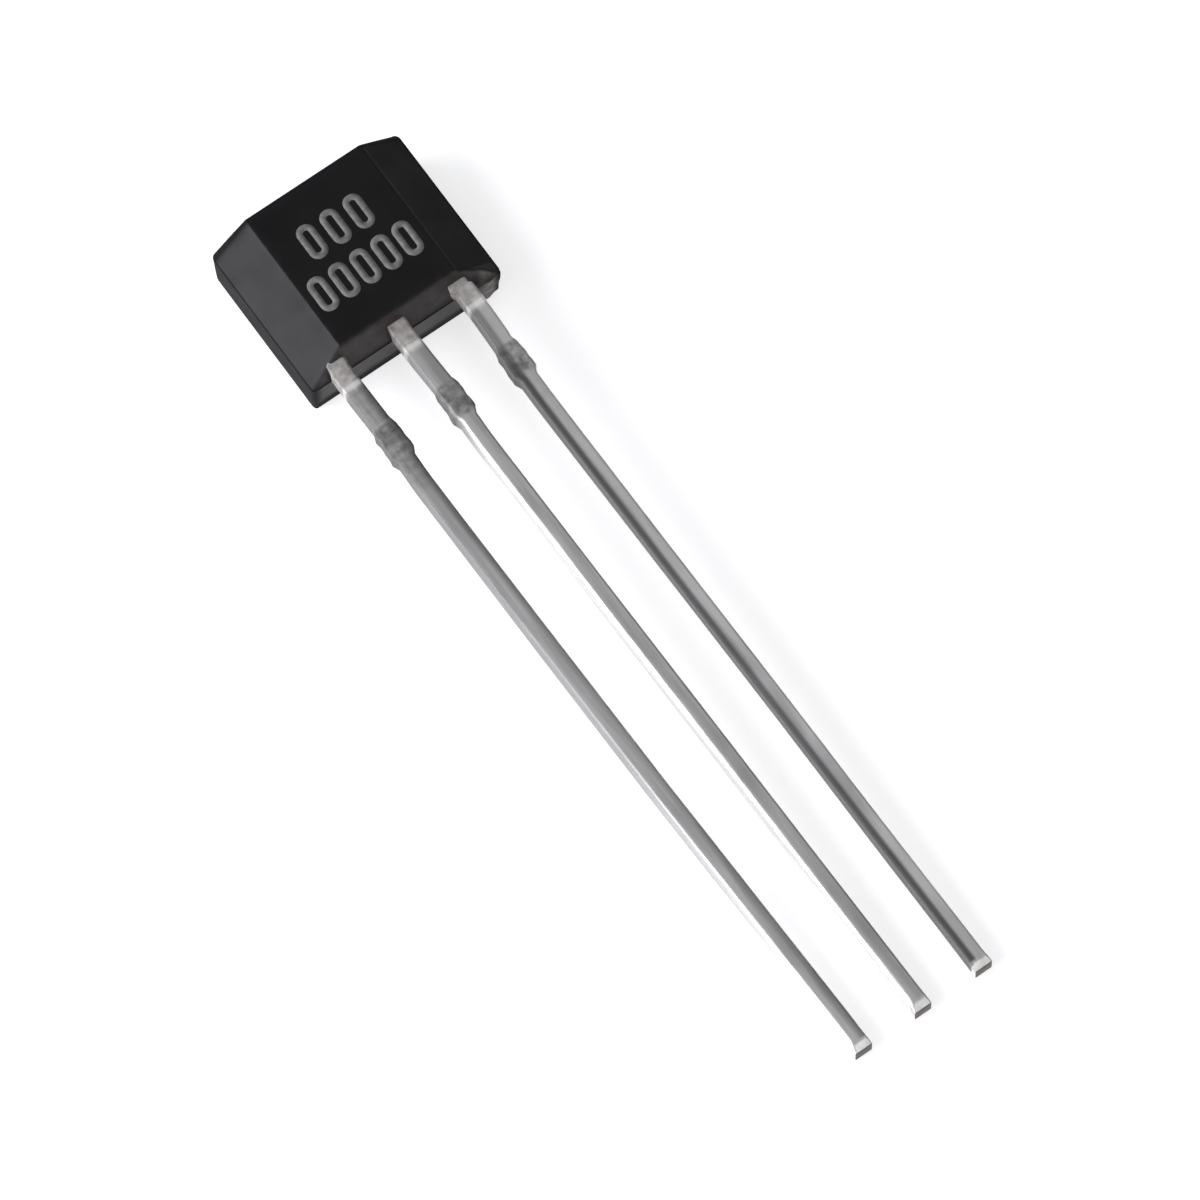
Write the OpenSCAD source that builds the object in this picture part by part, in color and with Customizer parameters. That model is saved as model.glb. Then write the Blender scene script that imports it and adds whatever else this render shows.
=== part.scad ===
// Linear Hall effect sensor in a flat three-lead through-hole package.
// Millimetres. +X runs across the row of leads, the leads point along -Y,
// and the sensing face looks up, along +Z. The sensor lies on its back, as it
// would on a bench: on the lead-exit edge of its back face and on the tips of
// its leads. The origin is the middle of the bottom of its bounding box.

/* [Moulded body] */
// Width across the parting line
body_width = 3.96; // [3.9:0.01:4.4]
// Height along the leads, at the parting line
body_height = 3.16; // [2.9:0.01:3.6]
// Depth of the front half, from the sensing face to the parting line
front_depth = 0.62; // [0.56:0.01:0.75]
// Depth of the back half, from the parting line to the back face
back_depth = 0.9; // [0.8:0.01:1.2]
// Width of the flat sensing face, between its two chamfers
face_width = 2.42; // [2.3:0.01:2.6]
// How far the lead-exit end leans in, from the parting line to the sensing face
exit_lean = 0.22; // [0.02:0.01:0.3]
// How far the far end leans in, from the parting line to the sensing face
far_lean = 0.01; // [0:0.01:0.2]
// Mould draft of the back half, on all four sides
back_draft = 0.02; // [0.01:0.01:0.08]
// Radius of the two corners at the far end, seen from the front
far_corner_radius = 0.12; // [0.05:0.01:0.3]
// Diameter of the ejector pin mark in the back face
ejector_mark_d = 1.1; // [0.6:0.1:1.6]
// Depth of the ejector pin mark
ejector_mark_depth = 0.04; // [0.02:0.01:0.08]

/* [Leads] */
// Distance from one lead to the next
lead_pitch = 1.27; // [1.24:0.01:1.29]
// Length of the leads outside the body
lead_length = 15.2; // [12:0.1:18]
// Width of a lead below the cut tie bar
lead_width = 0.34; // [0.28:0.01:0.36]
// Thickness of the lead frame strip
strip_thickness = 0.38; // [0.3:0.01:0.42]
// Width of a lead between the body and the tie bar
shoulder_width = 0.37; // [0.34:0.01:0.37]
// Distance from the body to the stubs of the cut tie bar
shoulder_length = 1.25; // [0.8:0.05:1.8]
// How far each stub of the cut tie bar stands out beside the shoulder
stub_reach = 0.05; // [0.02:0.01:0.12]
// Length of the stubs, along the lead
stub_length = 0.65; // [0.5:0.05:1]
// Length of the slope at either end of a stub
stub_slope = 0.14; // [0.05:0.01:0.2]
// Length of the rounded-over cut at a lead's tip
tip_cut_length = 0.14; // [0.05:0.01:0.3]
// Depth of the rounded-over cut at a lead's tip
tip_cut_depth = 0.06; // [0.02:0.01:0.12]

/* [Lead frame inside the body] */
// Distance from the lead-exit end to the necks that lock the leads in
neck_start = 0.25; // [0.25:0.01:0.35]
// Width of a lead above its neck
neck_width = 0.24; // [0.2:0.01:0.3]
// Distance from the lead-exit end to the near edge of the bond posts
post_start = 0.5; // [0.4:0.05:0.6]
// Height of the bond posts, along the leads
post_height = 0.5; // [0.4:0.05:0.6]
// How far a bond post reaches past its lead, towards the middle
post_reach = 0.42; // [0.3:0.01:0.48]
// Where the middle lead starts to step down towards its die pad
step_start = 0.7; // [0.65:0.05:0.8]
// Length of the step, along the lead
step_length = 0.4; // [0.3:0.05:0.45]
// Depth of the step
step_depth = 0.43; // [0.35:0.01:0.48]
// Gap between the bond posts and the die pad
pad_gap = 0.25; // [0.15:0.05:0.3]
// Width of the die pad
pad_width = 1.5; // [1.3:0.05:1.7]
// Height of the die pad, along the leads
pad_height = 1.3; // [1.2:0.05:1.4]

/* [Hall die] */
// Width of the die
die_width = 1; // [0.8:0.05:1.1]
// Height of the die, along the leads
die_height = 0.9; // [0.8:0.05:1]
// Thickness of the die
die_thickness = 0.2; // [0.15:0.01:0.24]
// Thickness of the die attach adhesive
attach_thickness = 0.02; // [0.01:0.005:0.04]
// How far the adhesive squeezes out round the die
attach_fillet = 0.04; // [0.01:0.01:0.08]

/* [Bond wires] */
// Diameter of the gold bond wire
wire_d = 0.03; // [0.02:0.005:0.035]
// Diameter of the ball that starts each wire on the die
ball_d = 0.08; // [0.06:0.01:0.1]
// Thickness of the squashed ball
ball_thickness = 0.03; // [0.02:0.005:0.04]
// Height of the straight rise, from the middle of the ball
wire_rise = 0.2; // [0.18:0.01:0.23]
// Radius of the bend at the top of a wire, at its centre line
wire_bend_r = 0.06; // [0.04:0.01:0.08]
// How much thicker the wire is in that bend
bend_swell = 0.004; // [0.003:0.001:0.006]
// Diameter of the stitch that ends each wire on the lead frame
stitch_d = 0.08; // [0.06:0.01:0.1]
// Thickness of the stitch
stitch_thickness = 0.04; // [0.04:0.005:0.05]
// Distance from the die's edges to the middle of its bond pads
bond_inset = 0.12; // [0.08:0.01:0.16]

/* [Hidden] */
$fn = 32;

// Heights above the back face
parting_z = back_depth;
face_z = back_depth + front_depth;
frame_top_z = parting_z + strip_thickness;
pad_bottom_z = parting_z - step_depth;
pad_top_z = frame_top_z - step_depth;
die_bottom_z = pad_top_z + attach_thickness;
die_top_z = die_bottom_z + die_thickness;

// Distances along the leads, from the lead-exit end
step_end = step_start + step_length;
post_end = post_start + post_height;
pad_start = post_end + pad_gap;
pad_end = pad_start + pad_height;
pad_middle = (pad_start + pad_end) / 2;
die_start = pad_middle - die_height / 2;
stub_start = -shoulder_length;
stub_end = stub_start - stub_length;
tip_y = -lead_length;

// Half widths
half_body = body_width / 2;
half_face = face_width / 2;
half_back = half_body - back_draft;
half_lead = lead_width / 2;
half_shoulder = shoulder_width / 2;
half_neck = neck_width / 2;
half_stub = half_shoulder + stub_reach;

// Bond pads on the die, and where each wire lands on the lead frame
bond_y = die_start + bond_inset;
bond_x = die_width / 2 - bond_inset;
post_middle = (post_start + post_end) / 2;
post_bond_x = lead_pitch - half_shoulder - post_reach / 2;
ball_middle_z = die_top_z + ball_thickness / 2;
landing_rise = frame_top_z + stitch_thickness / 2 - ball_middle_z;

// How far the straight stretches of a wire run into its bend
wire_overlap = bend_swell;

// The tilt at which the back face's edge and the lead tips both touch the bench
rest_tilt = atan2(parting_z, lead_length + back_draft);

// Profile points that can be the furthest along or against the leads
far_points = [
  [body_height - back_draft, 0], [body_height, parting_z], [body_height - far_lean, face_z]
];
tip_points = [[tip_y, parting_z], [tip_y, frame_top_z - tip_cut_depth]];
far_reach = max([for (p = far_points) tilted_y(p)]);
tip_reach = min([for (p = tip_points) tilted_y(p)]);
lowest = tilted_z([back_draft, 0]);

// Place of a profile point once the sensor lies at its rest tilt
function tilted_y(p) = p[0] * cos(rest_tilt) - p[1] * sin(rest_tilt);
function tilted_z(p) = p[0] * sin(rest_tilt) + p[1] * cos(rest_tilt);

// Lays a piece down as the sensor rests, with the origin below its middle
module at_rest() {
  translate([0, -(far_reach + tip_reach) / 2, -lowest])
    rotate([rest_tilt, 0, 0])
      children();
}

// Extrudes a profile drawn in Y and Z across the sensor, centred on X = 0
module across(width) {
  translate([-width / 2, 0, 0])
    rotate([90, 0, 90])
      linear_extrude(width)
        children();
}

// Cross-section of the body: chamfered front half, drafted back half
module body_section() {
  polygon([
    [-half_back, 0], [half_back, 0], [half_body, parting_z],
    [half_face, face_z], [-half_face, face_z], [-half_body, parting_z]
  ]);
}

// Side profile of the body, drawn in Y and Z
module body_profile() {
  polygon([
    [back_draft, 0], [body_height - back_draft, 0], [body_height, parting_z],
    [body_height - far_lean, face_z], [exit_lean, face_z], [0, parting_z]
  ]);
}

// What the rounding of the far corner on the +X side takes away
module far_corner_waste() {
  translate([half_body - far_corner_radius, body_height - far_corner_radius, -face_z])
    difference() {
      cube([2 * far_corner_radius, 2 * far_corner_radius, 3 * face_z]);
      cylinder(h = 3 * face_z, r = far_corner_radius);
    }
}

// Outer form of the body: the cross-section met by the side profile, with
// its far corners rounded
module body_form() {
  difference() {
    intersection() {
      translate([0, body_height, 0])
        rotate([90, 0, 0])
          linear_extrude(body_height)
            body_section();
      across(body_width)
        body_profile();
    }
    far_corner_waste();
    mirror([1, 0, 0])
      far_corner_waste();
  }
}

// Outline of one lead from its tip to the height inner_end in the body
module lead_outline(inner_end) {
  polygon([
    [-half_lead, tip_y], [half_lead, tip_y],
    [half_lead, stub_end - stub_slope], [half_stub, stub_end],
    [half_stub, stub_start - stub_slope], [half_shoulder, stub_start],
    [half_shoulder, neck_start], [half_neck, neck_start],
    [half_neck, inner_end], [-half_neck, inner_end],
    [-half_neck, neck_start], [-half_shoulder, neck_start],
    [-half_shoulder, stub_start], [-half_stub, stub_start - stub_slope],
    [-half_stub, stub_end], [-half_lead, stub_end - stub_slope]
  ]);
}

// Side profile of a flat lead, with its front edge cut over at the tip
module flat_profile(inner_end) {
  polygon([
    [tip_y, parting_z], [inner_end, parting_z], [inner_end, frame_top_z],
    [tip_y + tip_cut_length, frame_top_z], [tip_y, frame_top_z - tip_cut_depth]
  ]);
}

// Side profile of the middle lead, with the step down to its die pad
module stepped_profile() {
  polygon([
    [tip_y, parting_z], [step_start, parting_z], [step_end, pad_bottom_z],
    [pad_end, pad_bottom_z], [pad_end, pad_top_z], [step_end, pad_top_z],
    [step_start, frame_top_z], [tip_y + tip_cut_length, frame_top_z],
    [tip_y, frame_top_z - tip_cut_depth]
  ]);
}

// Outer lead on the +X side, with its bond post reaching towards the middle
module outer_lead() {
  intersection() {
    translate([lead_pitch, 0, 0])
      linear_extrude(face_z)
        union() {
          lead_outline(post_end);
          translate([-half_shoulder - post_reach, post_start])
            square([post_reach + half_shoulder + half_neck, post_height]);
        }
    across(body_width)
      flat_profile(post_end);
  }
}

// Middle lead and its die pad, one stamped piece
module middle_lead() {
  intersection() {
    linear_extrude(face_z)
      union() {
        lead_outline(pad_end);
        translate([-pad_width / 2, pad_start])
          square([pad_width, pad_height]);
      }
    across(body_width)
      stepped_profile();
  }
}

// Adhesive under the die
module attach_form() {
  attach_width = die_width + 2 * attach_fillet;
  attach_height = die_height + 2 * attach_fillet;
  translate([-attach_width / 2, pad_middle - attach_height / 2, pad_top_z])
    cube([attach_width, attach_height, attach_thickness]);
}

// Silicon die
module die_form() {
  translate([-die_width / 2, die_start, die_bottom_z])
    cube([die_width, die_height, die_thickness]);
}

// Bond wire from a pad on the die to a point on the lead frame: a squashed
// ball, a straight rise, a bend, a long straight run and a stitch
module bond_wire(start, end) {
  run = norm(end - start);
  bearing = atan2(end[1] - start[1], end[0] - start[0]);
  // From the centre of the bend to the landing point
  reach = run - wire_bend_r;
  drop = landing_rise - wire_rise;
  slant = norm([reach, drop]);
  slope = 90 - atan2(drop, reach) - acos(wire_bend_r / slant);
  length = sqrt(slant ^ 2 - wire_bend_r ^ 2);
  translate([start[0], start[1], die_top_z])
    cylinder(h = ball_thickness, d = ball_d);
  translate([end[0], end[1], frame_top_z])
    cylinder(h = stitch_thickness, d = stitch_d);
  translate([start[0], start[1], ball_middle_z])
    rotate([0, 0, bearing]) {
      cylinder(h = wire_rise + wire_overlap, d = wire_d);
      translate([wire_bend_r, 0, wire_rise])
        rotate([90, slope - 90, 0])
          rotate_extrude(angle = 90 + slope)
            translate([wire_bend_r, 0])
              circle(d = wire_d + bend_swell);
      translate([run, 0, landing_rise])
        rotate([0, slope - 90, 0])
          cylinder(h = length + wire_overlap, d = wire_d);
    }
}

module supply_wire_form() {
  bond_wire([-bond_x, bond_y], [-post_bond_x, post_middle]);
}

module ground_wire_form() {
  bond_wire([0, bond_y], [0, post_start]);
}

module output_wire_form() {
  bond_wire([bond_x, bond_y], [post_bond_x, post_middle]);
}

// Everything that the moulding compound closes round
module moulded_in() {
  mirror([1, 0, 0])
    outer_lead();
  middle_lead();
  outer_lead();
  attach_form();
  die_form();
  supply_wire_form();
  ground_wire_form();
  output_wire_form();
}

// Body of black moulding compound, with an ejector pin mark in its back
module moulded_body() {
  color("#26262a")
    at_rest()
      difference() {
        body_form();
        moulded_in();
        translate([0, body_height / 2, -ejector_mark_depth])
          cylinder(h = 2 * ejector_mark_depth, d = ejector_mark_d);
      }
}

// Supply lead, on the left when the sensing face is seen with the leads down
module lead_supply() {
  color("#c4c6c8")
    at_rest()
      mirror([1, 0, 0])
        outer_lead();
}

// Ground lead, in the middle, with the die pad
module lead_ground() {
  color("#c4c6c8")
    at_rest()
      middle_lead();
}

// Output lead, on the right
module lead_output() {
  color("#c4c6c8")
    at_rest()
      outer_lead();
}

// Adhesive that holds the die on its pad
module die_attach() {
  color("#b9b6ac")
    at_rest()
      attach_form();
}

// Silicon die with the Hall element and its amplifier
module hall_die() {
  color("#4a4f5c")
    at_rest()
      die_form();
}

// Gold wire from the die to the supply lead
module wire_supply() {
  color("#d9a93e")
    at_rest()
      supply_wire_form();
}

// Gold wire from the die to the ground lead
module wire_ground() {
  color("#d9a93e")
    at_rest()
      ground_wire_form();
}

// Gold wire from the die to the output lead
module wire_output() {
  color("#d9a93e")
    at_rest()
      output_wire_form();
}

moulded_body();
lead_supply();
lead_ground();
lead_output();
die_attach();
hall_die();
wire_supply();
wire_ground();
wire_output();
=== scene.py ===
# Flat three-lead Hall effect sensor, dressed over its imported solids.
# Shapes are worked out in millimetres in the sensor's own frame: X across the row of leads,
# Y from the lead exit to the far end, Z from the back face to the sensing face.
# layDown() then tips them to the angle at which the sensor rests on a bench.
import bpy
import numpy as np
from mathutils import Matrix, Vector


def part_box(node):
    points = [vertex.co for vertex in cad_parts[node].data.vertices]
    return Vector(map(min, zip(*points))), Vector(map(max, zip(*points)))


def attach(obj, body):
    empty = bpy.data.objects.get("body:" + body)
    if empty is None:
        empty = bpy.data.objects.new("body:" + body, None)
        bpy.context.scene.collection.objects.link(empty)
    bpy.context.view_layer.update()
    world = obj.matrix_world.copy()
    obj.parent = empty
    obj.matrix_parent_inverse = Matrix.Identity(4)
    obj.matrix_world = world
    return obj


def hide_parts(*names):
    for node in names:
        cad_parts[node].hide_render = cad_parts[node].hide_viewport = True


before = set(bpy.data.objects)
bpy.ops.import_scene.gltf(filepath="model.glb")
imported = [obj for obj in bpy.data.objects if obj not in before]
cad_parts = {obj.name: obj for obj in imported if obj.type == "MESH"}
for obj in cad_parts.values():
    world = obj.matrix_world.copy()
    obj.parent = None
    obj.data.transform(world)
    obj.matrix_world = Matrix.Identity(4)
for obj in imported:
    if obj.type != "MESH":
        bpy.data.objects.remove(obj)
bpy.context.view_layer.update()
print("frame loaded with", len(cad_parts), "solids")

# sizes of the package in mm, the same as in the part's source
package = {
    "bodyWidth": 3.96,
    "bodyHeight": 3.16,
    "frontDepth": 0.62,
    "backDepth": 0.9,
    "faceWidth": 2.42,
    "exitLean": 0.22,
    "farLean": 0.01,
    "backDraft": 0.02,
    "farCornerRadius": 0.12,
    "leadPitch": 1.27,
    "leadLength": 15.2,
    "stripThickness": 0.38,
    "tipCutDepth": 0.06,
}
exitShift = -0.112  # only here: the row of leads stands off centre where it leaves the body
mmPerMetre = 1000
wearReach = 0.05  # mm over which the wear of a long edge fades

partingZ = package["backDepth"]
faceZ = package["backDepth"] + package["frontDepth"]
frameTopZ = partingZ + package["stripThickness"]
tipY = -package["leadLength"]
restTilt = np.arctan2(partingZ, package["leadLength"] + package["backDraft"])


def layDown(points):
    # y' = y cos t - z sin t + shift and z' = y sin t + z cos t - lowest, for the rest tilt t, in metres;
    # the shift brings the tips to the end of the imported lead, and the lowest point is the back's exit edge
    x, y, z = np.moveaxis(np.asarray(points, float), -1, 0)
    c, s = np.cos(restTilt), np.sin(restTilt)
    tipReach = tipY * c - (frameTopZ - package["tipCutDepth"]) * s
    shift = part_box("lead_ground")[0].y * mmPerMetre - tipReach
    lowest = package["backDraft"] * s
    return np.stack([x, y * c - z * s + shift, y * s + z * c - lowest], -1) / mmPerMetre


def ease(t):
    # 3t^2 - 2t^3, which crowds the samples towards both ends
    return t * t * (3 - 2 * t)


def smoothStep(zeroAt, oneAt, value):
    # 0 before zeroAt, 1 past oneAt, and ease() of the fraction between; zeroAt may be the larger
    return ease(np.clip((value - zeroAt) / (oneAt - zeroAt), 0, 1))


def bell(value, middle, width):
    # exp(-((value - middle) / width)^2)
    return np.exp(-((value - middle) / width) ** 2)


def roundedOutline(corners, radii, arcSteps, sideSteps):
    # each corner becomes an arc of its radius about centre = corner - in * r tan(turn / 2) + left * r,
    # and each side is a straight line between two arcs, sampled with ease(); corners run anticlockwise;
    # gives the points, their outward normals, and exp(-distance to the nearest corner / wearReach)
    corners, radii = np.asarray(corners, float), np.asarray(radii, float)
    into = corners - np.roll(corners, 1, 0)
    into /= np.linalg.norm(into, axis=1)[:, None]
    away = np.roll(into, -1, 0)
    turn = np.arctan2(into[:, 0] * away[:, 1] - into[:, 1] * away[:, 0], (into * away).sum(1))
    setBack = (radii * np.tan(turn / 2))[:, None]
    left = np.stack([-into[:, 1], into[:, 0]], 1)
    centres = corners - into * setBack + left * radii[:, None]
    heading = np.arctan2(-left[:, 1], -left[:, 0])[:, None]
    heading = heading + turn[:, None] * np.linspace(0, 1, arcSteps + 1)
    arcNormals = np.stack([np.cos(heading), np.sin(heading)], -1)
    arcs = centres[:, None] + arcNormals * radii[:, None, None]
    t = ease(np.arange(1, sideSteps + 1) / (sideSteps + 1))[None, :, None]
    start, end = arcs[:, -1:], np.roll(arcs, -1, 0)[:, :1]
    sides = start * (1 - t) + end * t
    sideNormals = np.repeat(arcNormals[:, -1:], sideSteps, 1)
    gap = np.minimum(t, 1 - t)[..., 0] * np.linalg.norm(end - start, axis=-1)
    nearCorner = np.concatenate([np.ones(arcs.shape[:2]), np.exp(-gap / wearReach)], 1)
    points = np.concatenate([arcs, sides], 1).reshape(-1, 2)
    normals = np.concatenate([arcNormals, sideNormals], 1).reshape(-1, 2)
    return points, normals, nearCorner.reshape(-1)


def gridFaces(rows, cols, looped):
    # point (i, j) joins (i, j + 1), (i + 1, j + 1) and (i + 1, j); j wraps round, and in a loop i does too
    i, j = np.meshgrid(np.arange(rows if looped else rows - 1), np.arange(cols), indexing="ij")
    row, nextRow, nextCol = i * cols, (i + 1) % rows * cols, (j + 1) % cols
    return np.stack([row + j, row + nextCol, nextRow + nextCol, nextRow + j], -1).reshape(-1, 4)


def closeEnds(rows, cols):
    # a fan of triangles from the middle point of each end ring; the two middle points follow the grid
    j = np.arange(cols)
    nextCol, lastRow, count = (j + 1) % cols, (rows - 1) * cols, rows * cols
    return np.concatenate([
        np.stack([np.full(cols, count), nextCol, j], 1),
        np.stack([np.full(cols, count + 1), lastRow + j, lastRow + nextCol], 1),
    ])


def joinGrids(parts):
    # each part is a grid of rings in mm, whether its rings close in a loop, and its points' attributes;
    # an open one gets a middle point on each end ring, the mean of that ring
    points, quads, triangles, marks, base = [], [], [], {}, 0
    for rings, looped, attributes in parts:
        rows, cols = rings.shape[:2]
        flat = rings.reshape(-1, 3)
        faces = gridFaces(rows, cols, looped)
        fans = np.zeros((0, 3), int) if looped else closeEnds(rows, cols)
        values = {key: np.broadcast_to(v, (rows, cols)).reshape(-1) for key, v in attributes.items()}
        if not looped:
            flat = np.concatenate([flat, rings[0].mean(0)[None], rings[-1].mean(0)[None]])
            values = {key: np.append(v, [v[:cols].mean(), v[-cols:].mean()]) for key, v in values.items()}
        a, b, c, d = (flat[faces[:, k]] for k in range(4))
        sixVolumes = (np.cross(b - a, c - a) * a).sum() + (np.cross(c - a, d - a) * a).sum()
        if sixVolumes < 0:  # turned so that the faces point outwards
            faces, fans = faces[:, ::-1], fans[:, ::-1]
        points.append(flat)
        quads.append(faces + base)
        triangles.append(fans + base)
        base += len(flat)
        for key, v in values.items():
            marks.setdefault(key, []).append(v)
    marks = {key: np.concatenate(values) for key, values in marks.items()}
    return np.concatenate(points), np.concatenate(quads), np.concatenate(triangles), marks


def makePiece(name, parts, material, node=None):
    # the joined grids, laid down, as one smooth mesh with its attributes, riding on the sensor's only body
    points, quads, triangles, marks = joinGrids(parts)
    mesh = bpy.data.meshes.new(name)
    mesh.vertices.add(len(points))
    mesh.vertices.foreach_set("co", layDown(points).astype(np.float32).ravel())
    mesh.loops.add(quads.size + triangles.size)
    corners = np.concatenate([quads.ravel(), triangles.ravel()])
    mesh.loops.foreach_set("vertex_index", corners.astype(np.int32))
    sides = np.repeat([4, 3], [len(quads), len(triangles)])
    mesh.polygons.add(len(sides))
    mesh.polygons.foreach_set("loop_start", (np.cumsum(sides) - sides).astype(np.int32))
    mesh.polygons.foreach_set("loop_total", sides.astype(np.int32))
    mesh.polygons.foreach_set("use_smooth", np.ones(len(sides), bool))
    for key, values in marks.items():
        layer = mesh.attributes.new(key, "FLOAT", "POINT")
        layer.data.foreach_set("value", values.astype(np.float32))
    mesh.update(calc_edges=True)
    mesh.validate()
    mesh.materials.append(material)
    piece = bpy.data.objects.new(name, mesh)
    bpy.context.scene.collection.objects.link(piece)
    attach(piece, "root")
    if node:
        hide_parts(node)
    print("made", name, "with", len(sides), "faces")


def fillSockets(tree, sockets, **values):
    # a value that is a socket is linked, any other is set; a key is a socket's name with _ for a space,
    # or i and the socket's number
    for key, value in values.items():
        numbered = key[0] == "i" and key[1:].isdigit()
        socket = sockets[int(key[1:]) if numbered else key.replace("_", " ")]
        if isinstance(value, bpy.types.NodeSocket):
            tree.links.new(value, socket)
        else:
            socket.default_value = value


def addNode(tree, kind, settings=None, **inputs):
    # a shader node of that kind with its settings and its filled sockets
    node = tree.nodes.new("ShaderNode" + kind)
    for key, value in (settings or {}).items():
        setattr(node, key, value)
    fillSockets(tree, node.inputs, **inputs)
    return node


def mixColour(tree, factor, a, b):
    # a (1 - factor) + b factor, for colours; a Mix node takes them in its sockets 6 and 7
    return addNode(tree, "Mix", {"data_type": "RGBA"}, i0=factor, i6=a, i7=b).outputs[2]


def mixValue(tree, factor, a, b):
    # a (1 - factor) + b factor, for numbers, with the factor held between 0 and 1
    return addNode(tree, "MapRange", Value=factor, To_Min=a, To_Max=b).outputs[0]


def stretch(tree, value, low, high, **settings):
    # (value - low) / (high - low), held between 0 and 1
    return addNode(tree, "MapRange", settings, Value=value, From_Min=low, From_Max=high).outputs[0]


def maths(tree, operation, *values):
    # one Math node: its operation on two or three numbers or sockets
    numbered = {f"i{k}": value for k, value in enumerate(values)}
    return addNode(tree, "Math", {"operation": operation}, **numbered).outputs[0]


def bump(tree, height, relief, **under):
    # a normal tilted by the slope of height; relief is its strength and its depth in metres
    strength, depth = relief
    return addNode(tree, "Bump", Strength=strength, Distance=depth, Height=height, **under).outputs[0]


def attribute(tree, name):
    # one of the values that a piece's mesh carries at its points
    return addNode(tree, "Attribute", {"attribute_name": name}).outputs["Fac"]


def millimetres(tree):
    # Object coordinates times 1000, so that a scale is a number per mm
    place = addNode(tree, "TexCoord").outputs["Object"]
    return addNode(tree, "VectorMath", {"operation": "SCALE"}, Vector=place, Scale=mmPerMetre).outputs[0]


def newGroup(name, inputs, outputs):
    # an empty node group with its named sockets; gives the group and what to read from and fill inside it
    group = bpy.data.node_groups.new(name, "ShaderNodeTree")
    for label, kind, value in inputs:
        socket = group.interface.new_socket(label, in_out="INPUT", socket_type="NodeSocket" + kind)
        if value is not None:
            socket.default_value = value
    for label, kind in outputs:
        group.interface.new_socket(label, in_out="OUTPUT", socket_type="NodeSocket" + kind)
    return group, group.nodes.new("NodeGroupInput").outputs, group.nodes.new("NodeGroupOutput").inputs


def useGroup(tree, group, **inputs):
    # the outputs of a group placed in a material with its own values
    return addNode(tree, "Group", {"node_tree": group}, **inputs).outputs


def newMaterial(name):
    # a material, its node tree and the sockets of its Principled shader
    material = bpy.data.materials.new(name)
    material.use_nodes = True
    tree = material.node_tree
    return material, tree, tree.nodes["Principled BSDF"].inputs


sharedFinish = {
    "fineDetail": 3.0,
    "fineRoughness": 0.6,
    "coarseDetail": 2.0,
    "coarseRange": (0.3, 0.7),
    "wearDetail": 3.0,
    "wearRange": (0.35, 0.65),
}

# grain of a spark-eroded mould or an etched sheet: fine noise for its height, coarse noise for its blotches
grain, grainIn, grainOut = newGroup(
    "surfaceGrain", [("Place", "Vector", None), ("Fineness", "Float", 40.0), ("Blotches", "Float", 2.0)],
    [("Height", "Float"), ("Mottle", "Float")])
fine = addNode(grain, "TexNoise", Vector=grainIn["Place"], Scale=grainIn["Fineness"],
               Detail=sharedFinish["fineDetail"], Roughness=sharedFinish["fineRoughness"]).outputs["Fac"]
coarse = addNode(grain, "TexNoise", Vector=grainIn["Place"], Scale=grainIn["Blotches"],
                 Detail=sharedFinish["coarseDetail"]).outputs["Fac"]
fillSockets(grain, grainOut, Height=fine, Mottle=stretch(grain, coarse, *sharedFinish["coarseRange"]))


def grained(tree, place, grainPerMm, blotchesPerMm):
    # the height and the mottle of the shared grain, so fine and so blotched
    return useGroup(tree, grain, Place=place, Fineness=grainPerMm, Blotches=blotchesPerMm)



# wear along edges: the piece's own "edge" attribute, broken up by noise
wear, wearIn, wearOut = newGroup(
    "edgeWear", [("Place", "Vector", None), ("Surface", "Color", None), ("Worn", "Color", None),
                 ("Amount", "Float", 0.5), ("Breakup", "Float", 8.0)], [("Color", "Color")])
patches = addNode(wear, "TexNoise", Vector=wearIn["Place"], Scale=wearIn["Breakup"],
                  Detail=sharedFinish["wearDetail"]).outputs["Fac"]
broken = stretch(wear, patches, *sharedFinish["wearRange"])
worn = maths(wear, "MULTIPLY", maths(wear, "MULTIPLY", attribute(wear, "edge"), broken), wearIn["Amount"])
fillSockets(wear, wearOut, Color=mixColour(wear, worn, wearIn["Surface"], wearIn["Worn"]))
print("shared finishes ready")


epoxyLook = {
    "black": (0.0030, 0.0030, 0.0034, 1),
    "greyer": (0.0043, 0.0042, 0.0044, 1),
    "worn": (0.026, 0.026, 0.028, 1),
    "exitTint": (0.062, 0.051, 0.054, 1),
    "exitBlotch": (0.037, 0.030, 0.028, 1),
    "blush": (0.240, 0.215, 0.195, 1),
    # painted shade along the parting seam and beside the lead roots
    "seamShade": (0.0070, 0.0040, 0.0025, 1),
    "grainPerMm": 34.0,
    "blotchesPerMm": 1.6,
    "filmBlotchesPerMm": 6.0,
    "blushRange": (0.15, 1.0),
    "wearAmount": 0.25,
    "wearPerMm": 5.0,
    "roughness": (0.42, 0.52),
    "rimShadeRoughness": 0.36,  # added where the rims carry painted shade
    "grainRelief": (0.35, 0.000004),
    "ior": 1.5,
    "specularLevel": 0.22,
}


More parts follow.
